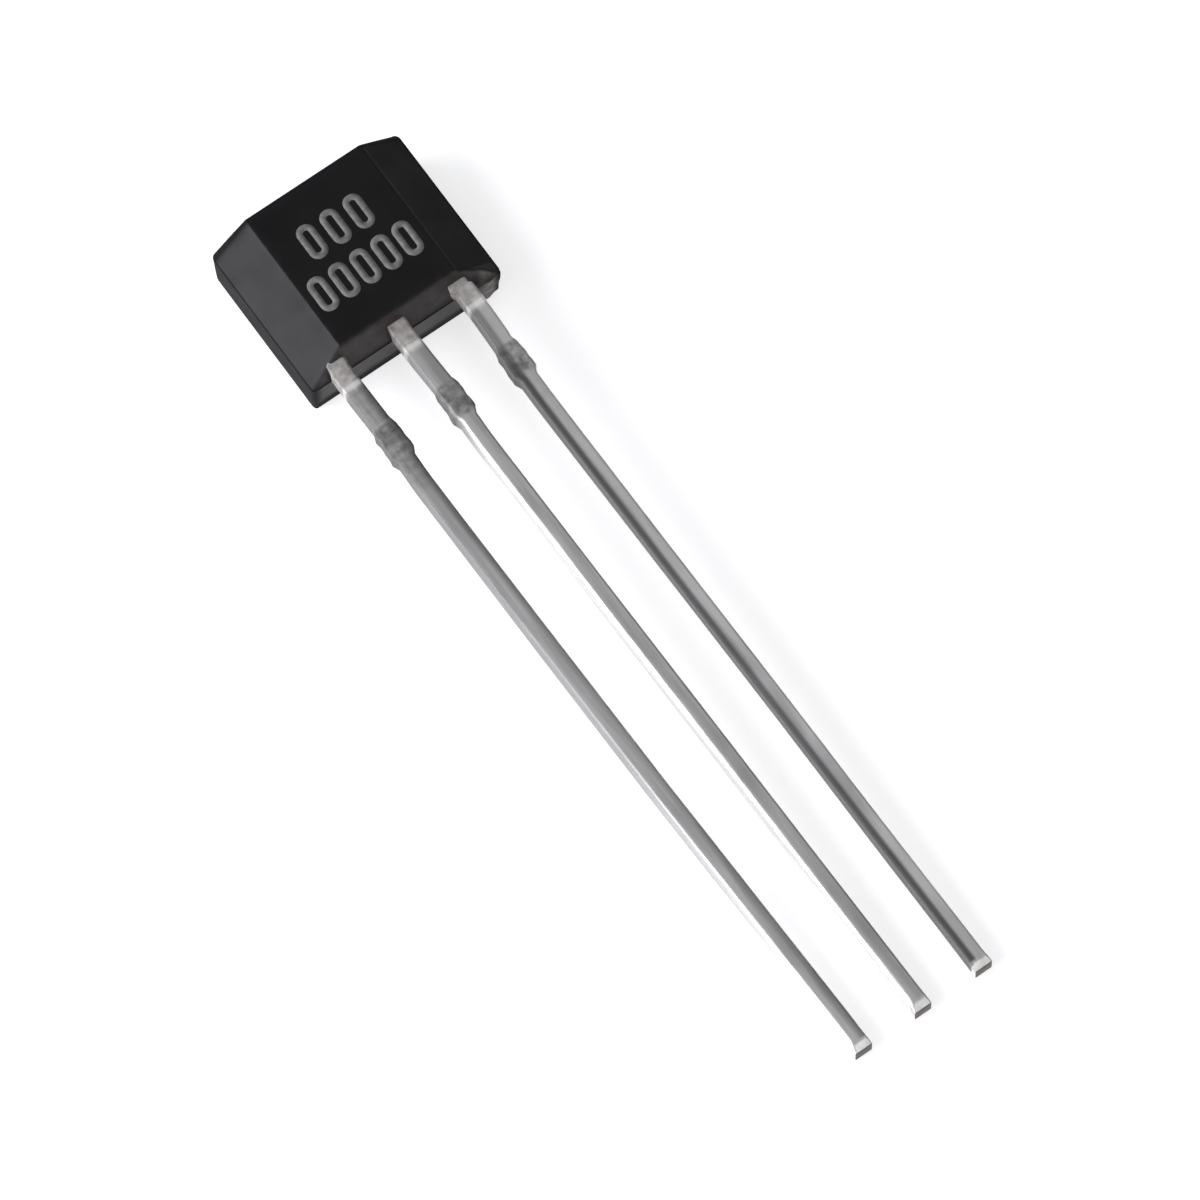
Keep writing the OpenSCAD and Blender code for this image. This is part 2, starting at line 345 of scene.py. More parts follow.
def mouldingEpoxy(look):
    # black epoxy, blotched, with a brown film and a blush on the exit end, worn edges, painted shade along
    # the seam and beside the leads, and painted shade on the outer rims
    material, tree, shader = newMaterial("mouldingEpoxy")
    place = millimetres(tree)
    body = grained(tree, place, look["grainPerMm"], look["blotchesPerMm"])
    resin = grained(tree, place, look["grainPerMm"], look["filmBlotchesPerMm"])
    surface = mixColour(tree, body["Mottle"], look["black"], look["greyer"])
    film = mixColour(tree, resin["Mottle"], look["exitTint"], look["exitBlotch"])
    surface = mixColour(tree, attribute(tree, "exitEnd"), surface, film)
    blotched = mixValue(tree, resin["Mottle"], *look["blushRange"])
    blush = maths(tree, "MULTIPLY", attribute(tree, "blush"), blotched)
    surface = mixColour(tree, blush, surface, look["blush"])
    surface = useGroup(tree, wear, Place=place, Surface=surface, Worn=look["worn"],
                       Amount=look["wearAmount"], Breakup=look["wearPerMm"])["Color"]
    # painted shade: the outer rims and the right chamfer are mixed towards black and made rougher
    rimShade = attribute(tree, "rimShade")
    surface = mixColour(tree, rimShade, surface, look["black"])
    rough = mixValue(tree, body["Mottle"], *look["roughness"])
    # painted shade along the seam and beside the leads is mixed in last
    fillSockets(tree, shader, Base_Color=mixColour(tree, attribute(tree, "seamShade"), surface, look["seamShade"]),
                Roughness=maths(tree, "MULTIPLY_ADD", rimShade, look["rimShadeRoughness"], rough),
                Normal=bump(tree, body["Height"], look["grainRelief"]),
                IOR=look["ior"], Specular_IOR_Level=look["specularLevel"])
    return material


tinLook = {
    "tin": (0.93, 0.925, 0.905, 1),
    "dull": (0.70, 0.70, 0.69, 1),
    "worn": (0.92, 0.92, 0.91, 1),
    # painted dark reflection on the leads' fronts and tip bevels
    "darkReflectionBand": (0.10, 0.10, 0.10, 1),
    "resinFilm": (0.43, 0.405, 0.37, 1),
    "resinBlotch": (0.21, 0.195, 0.175, 1),
    # painted highlight: a bright band on each lead just below the resin film
    "highlightBandColour": (0.74, 0.71, 0.66, 1),
    "bareAlloy": (0.105, 0.099, 0.093, 1),
    # painted shade down the leads' left walls
    "leftWallShade": (0.12, 0.117, 0.108, 1),
    "sheared": (0.150, 0.132, 0.118, 1),
    "drawingLines": {"perMm": (26.0, 0.9, 26.0), "detail": 4.0, "roughness": 0.6},
    "dullStreaks": {"perMm": (7.0, 0.16, 7.0), "detail": 2.0, "range": (0.42, 0.62)},
    "grainPerMm": 22.0,
    "blotchesPerMm": 1.3,
    "fleckGrainPerMm": 40.0,
    "flecksPerMm": 7.0,
    "dullBlotches": 0.4,
    "wearAmount": 0.5,
    "wearPerMm": 3.0,
    "cutRange": (0.35, 1.0),
    "roughness": (0.26, 0.40),
    "addedRoughness": {"film": 0.18, "cut": 0.14, "leftWallShade": 0.30, "darkReflection": 0.10, "sheared": 0.25},
    "lineRelief": (0.5, 0.000006),
    "grainRelief": (0.25, 0.000004),
}


def tinPlate(look):
    # tin with drawing lines and dull streaks, then a painted dark reflection band, painted shade on the left
    # wall, a resin film with a painted highlight band at its end, and cut, in turn
    material, tree, shader = newMaterial("tinPlate")
    place = millimetres(tree)
    drawn, long = look["drawingLines"], look["dullStreaks"]
    # both are noise drawn out along the lead
    lines = addNode(tree, "Mapping", Vector=place, Scale=drawn["perMm"]).outputs[0]
    lines = addNode(tree, "TexNoise", Vector=lines, Scale=1.0, Detail=drawn["detail"],
                    Roughness=drawn["roughness"]).outputs["Fac"]
    streaks = addNode(tree, "Mapping", Vector=place, Scale=long["perMm"]).outputs[0]
    streaks = addNode(tree, "TexNoise", Vector=streaks, Scale=1.0, Detail=long["detail"]).outputs["Fac"]
    plate = grained(tree, place, look["grainPerMm"], look["blotchesPerMm"])
    flecks = grained(tree, place, look["fleckGrainPerMm"], look["flecksPerMm"])
    marks = {name: attribute(tree, name) for name in ("darkReflection", "leftWallShade", "film", "highlightBand", "cut", "sheared")}
    surface = mixColour(tree, stretch(tree, streaks, *long["range"]), look["tin"], look["dull"])
    blotches = maths(tree, "MULTIPLY", plate["Mottle"], look["dullBlotches"])
    surface = mixColour(tree, blotches, surface, look["dull"])
    surface = useGroup(tree, wear, Place=place, Surface=surface, Worn=look["worn"],
                       Amount=look["wearAmount"], Breakup=look["wearPerMm"])["Color"]
    # the cut stubs keep some tin in patches
    patchy = maths(tree, "MULTIPLY", marks["cut"], mixValue(tree, flecks["Mottle"], *look["cutRange"]))
    for mask, colour in (
            (marks["darkReflection"], look["darkReflectionBand"]), (marks["leftWallShade"], look["leftWallShade"]),
            (marks["film"], mixColour(tree, flecks["Mottle"], look["resinFilm"], look["resinBlotch"])),
            (marks["highlightBand"], look["highlightBandColour"]), (patchy, look["bareAlloy"]),
            (marks["sheared"], look["sheared"])):
        surface = mixColour(tree, mask, surface, colour)
    rough = mixValue(tree, plate["Mottle"], *look["roughness"])
    for name, more in look["addedRoughness"].items():
        rough = maths(tree, "MULTIPLY_ADD", marks[name], more, rough)
    # the resin film, the painted highlight band and the painted left wall shade are no metals
    covered = maths(tree, "MAXIMUM", maths(tree, "MAXIMUM", marks["film"], marks["highlightBand"]), marks["leftWallShade"])
    relief = bump(tree, lines, look["lineRelief"])
    relief = bump(tree, plate["Height"], look["grainRelief"], Normal=relief)
    fillSockets(tree, shader, Base_Color=surface, Roughness=rough, Normal=relief,
                Metallic=mixValue(tree, covered, 1.0, 0.0))
    return material


markLook = {
    "light": (0.185, 0.178, 0.167, 1),
    "thin": (0.112, 0.108, 0.102, 1),
    "grainPerMm": 30.0,
    "blotchesPerMm": 9.0,
    "roughness": (0.7, 0.9),
    "relief": (0.5, 0.000005),
}

dieLook = {
    "silicon": (0.075, 0.085, 0.12, 1),
    "tracks": (0.21, 0.17, 0.19, 1),
    "blocksPerMm": 9.0,
    "tracksPerMm": 18.0,
    "roughness": (0.12, 0.25),
    "relief": (0.2, 0.000002),
}

pasteLook = {
    "silver": (0.60, 0.59, 0.56, 1),
    "resin": (0.33, 0.31, 0.27, 1),
    "grainPerMm": 60.0,
    "blotchesPerMm": 25.0,
    "roughness": (0.45, 0.65),
    "relief": (0.5, 0.000003),
}

goldLook = {
    "gold": (0.86, 0.60, 0.24, 1),
    "shaded": (0.70, 0.45, 0.16, 1),
    "grainPerMm": 80.0,
    "blotchesPerMm": 12.0,
    "roughness": (0.15, 0.3),
}


def laserMark(look):
    # resin foamed by the laser: light where it is thick, darker in blotches, and rough all over
    material, tree, shader = newMaterial("laserMark")
    foam = grained(tree, millimetres(tree), look["grainPerMm"], look["blotchesPerMm"])
    fillSockets(tree, shader, Base_Color=mixColour(tree, foam["Mottle"], look["light"], look["thin"]),
                Roughness=mixValue(tree, foam["Height"], *look["roughness"]),
                Normal=bump(tree, foam["Height"], look["relief"]))
    return material


def siliconDie(look):
    # square blocks of circuit crossed by fine tracks: a Voronoi pattern times a wave
    material, tree, shader = newMaterial("siliconDie")
    place = millimetres(tree)
    blocks = addNode(tree, "TexVoronoi", {"distance": "CHEBYCHEV"}, Vector=place, Scale=look["blocksPerMm"])
    rows = addNode(tree, "TexWave", {"bands_direction": "X"}, Vector=place, Scale=look["tracksPerMm"])
    pattern = maths(tree, "MULTIPLY", blocks.outputs["Distance"], rows.outputs["Fac"])
    fillSockets(tree, shader, Base_Color=mixColour(tree, pattern, look["silicon"], look["tracks"]),
                Roughness=mixValue(tree, rows.outputs["Fac"], *look["roughness"]),
                Normal=bump(tree, pattern, look["relief"]))
    return material


def silverPaste(look):
    # silver flakes in resin, blotched where one or the other lies on top
    material, tree, shader = newMaterial("silverPaste")
    flakes = grained(tree, millimetres(tree), look["grainPerMm"], look["blotchesPerMm"])
    fillSockets(tree, shader, Base_Color=mixColour(tree, flakes["Mottle"], look["silver"], look["resin"]),
                Roughness=mixValue(tree, flakes["Mottle"], *look["roughness"]),
                Normal=bump(tree, flakes["Height"], look["relief"]))
    return material


def goldWire(look):
    # drawn gold, slightly redder and rougher in places
    material, tree, shader = newMaterial("goldWire")
    drawn = grained(tree, millimetres(tree), look["grainPerMm"], look["blotchesPerMm"])
    fillSockets(tree, shader, Base_Color=mixColour(tree, drawn["Mottle"], look["gold"], look["shaded"]),
                Roughness=mixValue(tree, drawn["Height"], *look["roughness"]), Metallic=1.0)
    return material


epoxy, tin, mark = mouldingEpoxy(epoxyLook), tinPlate(tinLook), laserMark(markLook)
silicon, paste, gold = siliconDie(dieLook), silverPaste(pasteLook), goldWire(goldLook)
for node, material in (("hall_die", silicon), ("die_attach", paste),
                       ("wire_supply", gold), ("wire_ground", gold), ("wire_output", gold)):
    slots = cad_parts[node].data.materials
    slots.clear()
    slots.append(material)
print("materials ready")


# the cross-section of the moulding: at its back face, at its parting line and at its sensing face
sectionZ = (0, partingZ, faceZ)
widestHalf = package["bodyWidth"] / 2
backHalf, faceHalf = widestHalf - package["backDraft"], package["faceWidth"] / 2

mouldedBody = {
    "faceEdgeRadius": 0.05,
    "partingEdgeRadius": 0.05,
    "backEdgeRadius": 0.07,
    "rimRadius": 0.05,
    "exitCornerRadii": (0.06, 0.04),  # left and right
    "cornerShare": 0.15,  # what is left of a corner's radius at the sensing face
    "rows": 84,
    "sideSteps": 56,
    "edgeSteps": 6,
    "capRim": (0.985, 0.85, 10),  # rings on an end face, as shares of its outline: first, last, count
    "capMiddle": (0.7844, 0.03, 9),
    "capHeight": 0.85,  # where they shrink to, as a share of the parting line's height
    "flashReach": 0.008,
    "flashHeight": 0.024,
    "flashRoot": 0.03,
    "flashWorn": 0.04,
    "flashSteps": (8, 60, 12),  # on a corner, on a side and round the section
    # the flash carries the painted seam shade and the painted rim shade as well
    "flashMarks": {"edge": 0.5, "exitEnd": 0.0, "blush": 0.0, "seamShade": 0.8, "rimShade": 1.0},
    "leftSide": (-1.85, -1.95),  # where the flash is worn away and the painted seam shade is left out
    "ejectorMarkDiameter": 1.1,
    "ejectorMarkDepth": 0.04,
    "ejectorMarkWall": (0.04, 0.01),  # the mark's sloping wall, inside and outside its radius
    "backFaceZ": 0.01,  # what lies under this is the back face
}

# what is left of the moulding gate, beside the output lead
gateRemnant = {
    "reach": 0.075,
    "fromX": (1.42, 1.52),
    "upToZ": (1.2, 0.95),
    "fromZ": (0, 0.1),
    "ripple": 0.15,
    "rippleX": (21, 3),  # radians per mm, and at the middle
    "rippleZ": (15, 1),
    "roundedX": (1.6, 1.95),  # the corner that is rounded off towards the back
    "roundedZ": (0.8, 0.2),
    "rounding": 0.9,
}


def exitEdge(z):
    # where the exit end stands at height z: its two halves lean in from the parting line
    return np.interp(z, sectionZ, [package["backDraft"], 0, package["exitLean"]])


def farEdge(z):
    # where the far end stands at height z: straight from the back to the parting line and on to the face
    height = package["bodyHeight"]
    return np.interp(z, sectionZ, [height - package["backDraft"], height, height - package["farLean"]])


def cornerCut(x, z, radius, share):
    # how far a rounded corner falls short of the square end: r - sqrt(r^2 - (r - q)^2), q in from the side
    # wall; above the parting line the radius shrinks to its share at the sensing face
    half = np.interp(z, sectionZ, [backHalf, widestHalf, faceHalf])
    r = np.interp(z, [partingZ, faceZ], [radius, share * radius])
    into = np.clip(r - np.maximum(half - np.abs(x), 0), 0, r)
    return r - np.sqrt(r ** 2 - into ** 2)


def gateSwelling(x, z, form):
    # how far the exit end swells out: reach * (1 - ripple + ripple sin sin) between smooth steps in x and z
    (rateX, startX), (rateZ, startZ) = form["rippleX"], form["rippleZ"]
    ripples = np.sin(rateX * x + startX) * np.sin(rateZ * z + startZ)
    rough = 1 - form["ripple"] + form["ripple"] * ripples
    rounded = smoothStep(*form["roundedX"], x) * smoothStep(*form["roundedZ"], z)
    rough = rough * (1 - form["rounding"] * rounded)
    swelling = smoothStep(*form["fromX"], x) * smoothStep(*form["upToZ"], z) * smoothStep(*form["fromZ"], z)
    return form["reach"] * swelling * rough


def ejectorDent(x, y, z, form):
    # how far the back face sinks: the mark's depth inside its radius, none outside, a smooth step between
    radius = form["ejectorMarkDiameter"] / 2
    inside, outside = form["ejectorMarkWall"]
    wall = smoothStep(radius - inside, radius + outside, np.hypot(x, y - package["bodyHeight"] / 2))
    return form["ejectorMarkDepth"] * (1 - wall) * (z < form["backFaceZ"])


# the finish of the moulding with its painted shade; lengths in mm, the rest shares of 1
bodyFinishAndShade = {
    "wallFade": 30,  # wear of the rims fades as exp(-this * share of half the wall)
    "capFade": 12,  # and on the end faces as this power of a ring's share of the outline
    "rightEdgeWidth": 0.09,
    "rightEdgeKept": 0.15,  # the right edge of the sensing face is hardly worn
    "exitRim": (0.3, 1),  # how far round the rim the exit end begins and is full
    "film": (0.45, 0.9),  # brown film on the exit end, below and above the parting line
    "blushX": (1.5, 1.7),  # the blush lies beside the output lead
    # painted shade along the parting seam: its rise above the parting line and its widths
    "seamRise": 0.02,
    "seamWidths": (0.085, 0.03),  # on the exit end and round the rest
    "leadRootShadow": 0.85,  # painted contact shadow beside the leads where they leave the body
    "leadRootShadowX": (0.23, 0.05),  # from a lead's middle: place and width
    "leadRootShadowZ": (0.08, 0.16),  # from the parting line
    "exitSeam": 0.1,  # the painted seam shade stays on the left side up to here
    # the rest places painted shade, standing for dark reflections of the room, on the rims and the right
    # chamfer
    "footX": (1.75, 1.95),  # foot of the walls, up to just over the parting line
    "footTop": 0.02,
    "sideLineX": (1.9, 1.97),  # line down the right side
    "chamferX": (0.01, 0.08),  # right chamfer, from the edge of the sensing face
    "chamferBottom": 0.05,
    "chamferEnd": 0.2,  # not nearer the exit than this
    "chamferShade": 0.6,
    "exitBackZ": (0.4, 0.15),  # foot of the exit end
    "exitBackX": (1.4, 1.6),
    "exitStrip": (0.16, 0.04),  # strip of the sensing face along the exit end
    "exitStripDepth": 0.03,
    "exitStripShade": 0.8,
    "farStrip": (0.12, 0.06),  # strip along the far end
    "farStripShade": 0.9,
}


def bodyMarks(x, y, z, along, onRim, nearRim, nearCorner, look):
    # masks from 0 to 1 for worn edges, a filmed and blushed exit end, painted shade along the parting seam
    # and painted contact shadow beside the leads, and painted shade on the outer rims and the right chamfer,
    # each a product of steps and bells in x, y and z, or the largest of several; along runs from 0 at the
    # far end to 1 at the exit end, and onRim from 0 on the walls to 1 on the end faces
    atExit, front, fromFace = along > 0.5, z > partingZ, x - faceHalf
    rightEdge = (np.abs(fromFace) < look["rightEdgeWidth"]) * front
    edge = np.maximum(nearCorner, nearRim) * (1 - (1 - look["rightEdgeKept"]) * rightEdge)
    exitEnd = smoothStep(*look["exitRim"], along * onRim)
    film = exitEnd * np.where(z < partingZ, *look["film"])
    # painted shade along the parting crease, wider on the exit end
    seamShade = bell(z, partingZ + look["seamRise"], np.where(atExit, *look["seamWidths"]))
    leads = exitShift + package["leadPitch"] * np.array([-1, 0, 1])
    fromLead = np.abs(x[..., None] - leads).min(-1)
    # painted contact shadow beside each lead root, joined to the painted seam shade
    leadRootShadow = bell(fromLead, *look["leadRootShadowX"]) * bell(z - partingZ, *look["leadRootShadowZ"])
    seamShade = np.maximum(seamShade, look["leadRootShadow"] * leadRootShadow * atExit)
    seamShade = seamShade * (1 - smoothStep(*mouldedBody["leftSide"], x) * (y > look["exitSeam"]))
    exitStrip = smoothStep(*look["exitStrip"], y - package["exitLean"])
    # painted shade on the rims, the foot of the walls, a line down the right side, the right chamfer, the
    # foot of the exit end and strips along both ends
    rimShade = [
        nearRim * ~atExit,
        smoothStep(*look["footX"], np.abs(x)) * (z < partingZ + look["footTop"]),
        np.exp(-np.abs(z - partingZ) / wearReach) * smoothStep(*look["sideLineX"], x),
        smoothStep(*look["chamferX"], fromFace) * (z > look["chamferBottom"])
        * np.where(atExit & (y < look["chamferEnd"]), 0, look["chamferShade"]),
        smoothStep(*look["exitBackZ"], z) * atExit * (1 - smoothStep(*look["exitBackX"], x)),
        look["exitStripShade"] * exitStrip * (z > faceZ - look["exitStripDepth"]) * ~atExit,
        look["farStripShade"] * smoothStep(*look["farStrip"], farEdge(z) - y) * front,
    ]
    return {"edge": edge, "exitEnd": film, "blush": exitEnd * smoothStep(*look["blushX"], x), "seamShade": seamShade,
            "rimShade": np.max(np.broadcast_arrays(*rimShade), 0)}


def bodyShell(form, look):
    # rings of the rounded cross-section, carried from the far end to the exit end, y from farEdge(z) to
    # exitEdge(z): point = middle + (outline - inset * normal - middle) * scale;
    # at a rim of radius r the inset is r (1 - cos a) while the ring stands r (1 - sin a) short of the end
    half, r = widestHalf - form["flashReach"], form["rimRadius"]
    corners = [[-backHalf, 0], [backHalf, 0], [half, partingZ],
               [faceHalf, faceZ], [-faceHalf, faceZ], [-half, partingZ]]
    edges = ("backEdge", "backEdge", "partingEdge", "faceEdge", "faceEdge", "partingEdge")
    radii = [form[edge + "Radius"] for edge in edges]
    outline, normals, nearCorner = roundedOutline(corners, radii, form["edgeSteps"], form["sideSteps"])
    a = np.linspace(0, np.pi / 2, form["edgeSteps"] + 1)
    wall = ease(np.linspace(0, 1, form["rows"]))[1:-1]
    cap = np.concatenate([np.linspace(*form["capRim"]), np.linspace(*form["capMiddle"])])
    onCap, onRim, onWall = np.ones(len(cap)), np.ones(len(a)), np.ones(len(wall))
    along = np.concatenate([0 * onCap, 0 * onRim, wall, onRim, onCap])[:, None]
    inset = np.concatenate([onCap, 1 - np.cos(a[::-1]), 0 * onWall, 1 - np.cos(a), onCap])[:, None] * r
    lift = np.concatenate([0 * onCap, 1 - np.sin(a[::-1]), onWall, 1 - np.sin(a), 0 * onCap])[:, None] * r
    scale = np.concatenate([cap[::-1], onRim, onWall, onRim, cap])[:, None]
    fromEnd = 1 - np.abs(2 * wall - 1)
    nearRim = np.concatenate([cap[::-1] ** look["capFade"], onRim, np.exp(-look["wallFade"] * fromEnd),
                              onRim, cap ** look["capFade"]])[:, None]
    middle = np.array([0, partingZ * form["capHeight"]])
    section = middle + (outline - inset[..., None] * normals - middle) * scale[..., None]
    x, z = section[..., 0], section[..., 1]
    # the ends stand back for the flash, the far end only near the parting line
    far = farEdge(z) - form["flashReach"] * (1 - np.abs(z - partingZ)).clip(0)
    far = far - cornerCut(x, z, package["farCornerRadius"], form["cornerShare"])
    leftCut, rightCut = (cornerCut(x, z, radius, form["cornerShare"]) for radius in form["exitCornerRadii"])
    near = exitEdge(z) + form["flashReach"] + np.where(x < 0, leftCut, rightCut)
    near = near - gateSwelling(x, z, gateRemnant)
    y = (far - lift) * (1 - along) + (near + lift) * along
    z = z + ejectorDent(x, y, z, form)
    marks = bodyMarks(x, y, z, along, 1 - lift / r, nearRim, nearCorner, look)
    return np.stack([x, y, z], -1), False, marks


def partingFlash(form):
    # a ridge whose section is a flattened arch, carried round the body at the parting line:
    # out = reach cos t outside the wall and root cos t inside it, and up = half the height times sin t
    reach = form["flashReach"]
    half, far = widestHalf - reach, package["bodyHeight"] - reach
    corners = [[-half, reach], [half, reach], [half, far], [-half, far]]
    radii = [*form["exitCornerRadii"], package["farCornerRadius"], package["farCornerRadius"]]
    cornerSteps, sideSteps, sectionSteps = form["flashSteps"]
    path, normals, _ = roundedOutline(corners, radii, cornerSteps, sideSteps)
    t = np.linspace(0, 2 * np.pi, sectionSteps, endpoint=False)
    out = np.where(np.cos(t) > 0, reach, form["flashRoot"]) * np.cos(t)
    out = out - form["flashWorn"] * smoothStep(*form["leftSide"], path[:, :1])
    up = partingZ + form["flashHeight"] / 2 * np.sin(t)
    plan = path[:, None] + normals[:, None] * out[:, :, None]
    rings = np.concatenate([plan, np.broadcast_to(up[:, None], plan.shape[:2] + (1,))], -1)
    return rings, True, form["flashMarks"]


makePiece("bodyMoulding", [bodyShell(mouldedBody, bodyFinishAndShade)], epoxy, "moulded_body")
makePiece("partingFlash", [partingFlash(mouldedBody)], epoxy, None)


# two rows of plain zeros on the sensing face
marking = {
    "rowHeights": (2.12, 1.21),
    "rowCounts": (3, 5),
    "pitches": (0.49, 0.445),
    "height": 0.72,
    "width": 0.36,
    "stroke": 0.125,
    "roundness": 0.92,  # corner radius as a share of half the zero's width
    "relief": 0.002,
    "slope": 0.003,
    "root": 0.01,  # how deep it sits in the face
    "steps": (8, 6),  # on a corner and on a side
}


def zeroRing(centreX, centreY, form):
    # a low trapezoid section carried round a rounded oblong: out from -s to s for half the stroke s,
    # and up from the root to the relief within the slope
    half, tall = (form["width"] - form["stroke"]) / 2, (form["height"] - form["stroke"]) / 2
    corners = [[-half, -tall], [half, -tall], [half, tall], [-half, tall]]
    path, normals, _ = roundedOutline(corners, [half * form["roundness"]] * 4, *form["steps"])
    s, slope = form["stroke"] / 2, form["slope"]
    out = np.array([-s, -s + slope, s - slope, s])
    up = faceZ + np.array([-form["root"], form["relief"], form["relief"], -form["root"]])
    plan = path[:, None] + normals[:, None] * out[:, None] + [centreX, centreY]
    rings = np.concatenate([plan, np.broadcast_to(up[:, None], plan.shape[:2] + (1,))], -1)
    return rings, True, {"edge": 0.0}


zeros = [
    zeroRing((k - (count - 1) / 2) * pitch, height, marking)
    for height, count, pitch in zip(marking["rowHeights"], marking["rowCounts"], marking["pitches"])
    for k in range(count)
]
makePiece("faceMarking", zeros, mark)


# lengths of the leads in mm; those down to padHeight are the same as in the part's source
leadForm = {
    "leadWidth": 0.34,
    "shoulderWidth": 0.37,
    "shoulderLength": 1.25,
    "stubReach": 0.05,
    "stubLength": 0.65,
    "stubSlope": 0.14,
    "neckStart": 0.25,
    "neckWidth": 0.24,
    "postStart": 0.5,
    "postHeight": 0.5,
    "postReach": 0.42,
    "stepStart": 0.7,
    "stepLength": 0.4,
    "stepDepth": 0.43,
    "padGap": 0.25,
    "padWidth": 1.5,
    "padHeight": 1.3,
    "cornerStep": 0.002,  # a square corner of the outline takes this much of the length
    # the cut across the tip: distances from the tip, and shares of the cut's depth there
    "tipCutPlaces": (0, 0.01, 0.13, 0.15),
    "tipCutShares": (1, 0.9, 1 / 15, 0),
    # and the burr that it raises on the sides
    "burrPlaces": (0, 0.01, 0.12),
    "burr": (-0.006, 0.004, 0),
    # the torn edges of the stubs: where they fade in and out, their depth, and waves of (size, rate, phase)
    "tornFade": (0.12, 0.1),
    "tornDepth": 0.008,
    "tornWaves": ((1, 9.3, 4), (0.6, 23, 7)),
    "tornInset": 1.2,
    "tornLag": 7,  # rings by which the right edge's tear lags behind the left one's
    "rightRadius": 0.06,
    "leftBackRadius": 0.006,
    "backEdgeRadius": 0.025,
    "tipBlunting": (0.25, 0.25),  # length over which the front radii grow, and the share they start from
    "cornerSteps": 6,
    "sideShares": (0.04, 0.2, 0.35, 0.5, 0.65, 0.8, 0.96),
    "tipRings": (0.005, 0.02, 0.05, 0.1, 0.2, 0.3),
    # even rings on the thin part, the stubs, the shoulder and inside the body: how far their first and last
    # stand from the two ends of that stretch, and their number
    "rings": ((0.4, -0.4, 90), (-0.3, 0.12, 60), (0.2, -0.002, 26), (0, -0.02, 12)),
    "lastRing": 0.01,
    "tipShift": 0.021,
    "shiftEnd": 0.16,  # inside the exit end, where the row's shift begins to fade
    "bendPlaces": (0.6, 1.5, 2.5, 6.0, 9.5, 12.2, 14.5),
    "rollPower": 1.2,
}
stubTop = -leadForm["shoulderLength"]
stubFoot = stubTop - leadForm["stubLength"]
halfWay = 0.5 * (tipY + stubFoot)
tipCutEnd = tipY + leadForm["tipCutPlaces"][-1]
postEnd = leadForm["postStart"] + leadForm["postHeight"]
padStart = postEnd + leadForm["padGap"]
padEnd = padStart + leadForm["padHeight"]


def leadRings(form, inner):
    # where the rings of a lead stand: close at its tip, at the stubs and at each corner of its outline
    step, neckStart, postStart = form["cornerStep"], form["neckStart"], form["postStart"]
    end = postEnd if inner else padEnd
    stretches = ((tipY, stubFoot), (stubFoot, stubTop), (stubTop, neckStart), (form["stepStart"], end))
    return np.unique(np.concatenate([
        tipY + np.array(form["tipCutPlaces"] + form["tipRings"]),
        *(np.linspace(start + after, stop + before, count)
          for (start, stop), (after, before, count) in zip(stretches, form["rings"])),
        [form["shiftEnd"], neckStart - step, neckStart, postStart - step, postStart, form["stepStart"]],
        [] if inner else [padStart - step, padStart],
        [end - form["lastRing"], end],
    ]))


def leadSides(form, y, inner, seed):
    # half widths to the left and right, and top and bottom: straight lines between the outline's corners,
    # with depth * (sum of size sin(rate y + phase seed) - inset) added where the stubs are torn;
    # inside the body the outer two widen to a post on their inner side, the middle one to the die pad
    lead, shoulder, neck = form["leadWidth"] / 2, form["shoulderWidth"] / 2, form["neckWidth"] / 2
    stub, neckStart = shoulder + form["stubReach"], form["neckStart"]
    outline = np.interp(
        y, [*(tipY + np.array(form["burrPlaces"])), stubFoot - form["stubSlope"], stubFoot,
            stubTop - form["stubSlope"], stubTop, neckStart - form["cornerStep"], neckStart],
        [*(lead + np.array(form["burr"])), lead, stub, stub, shoulder, shoulder, neck])
    fadeIn, fadeOut = form["tornFade"]
    torn = smoothStep(stubFoot - fadeIn, stubFoot, y) * (1 - smoothStep(stubTop - fadeOut, stubTop, y))
    waves = sum(size * np.sin(rate * y + phase * seed) for size, rate, phase in form["tornWaves"])
    ragged = torn * form["tornDepth"] * (waves - form["tornInset"])
    left, right = outline + ragged, outline + np.roll(ragged, form["tornLag"])
    top = np.interp(y, tipY + np.array(form["tipCutPlaces"]),
                    frameTopZ - package["tipCutDepth"] * np.array(form["tipCutShares"]))
    bottom = np.full_like(y, partingZ)
    postHalf = shoulder + form["postReach"]
    if inner > 0:
        right = np.where(y < form["postStart"], right, postHalf)
    elif inner < 0:
        left = np.where(y < form["postStart"], left, postHalf)
    else:
        left = right = np.where(y < padStart, left, form["padWidth"] / 2)
        stepEnd = form["stepStart"] + form["stepLength"]
        drop = np.interp(y, [form["stepStart"], stepEnd], [0, form["stepDepth"]])
        top, bottom = top - drop, bottom - drop
    return left[:, None], right[:, None], top[:, None], bottom[:, None], torn[:, None]


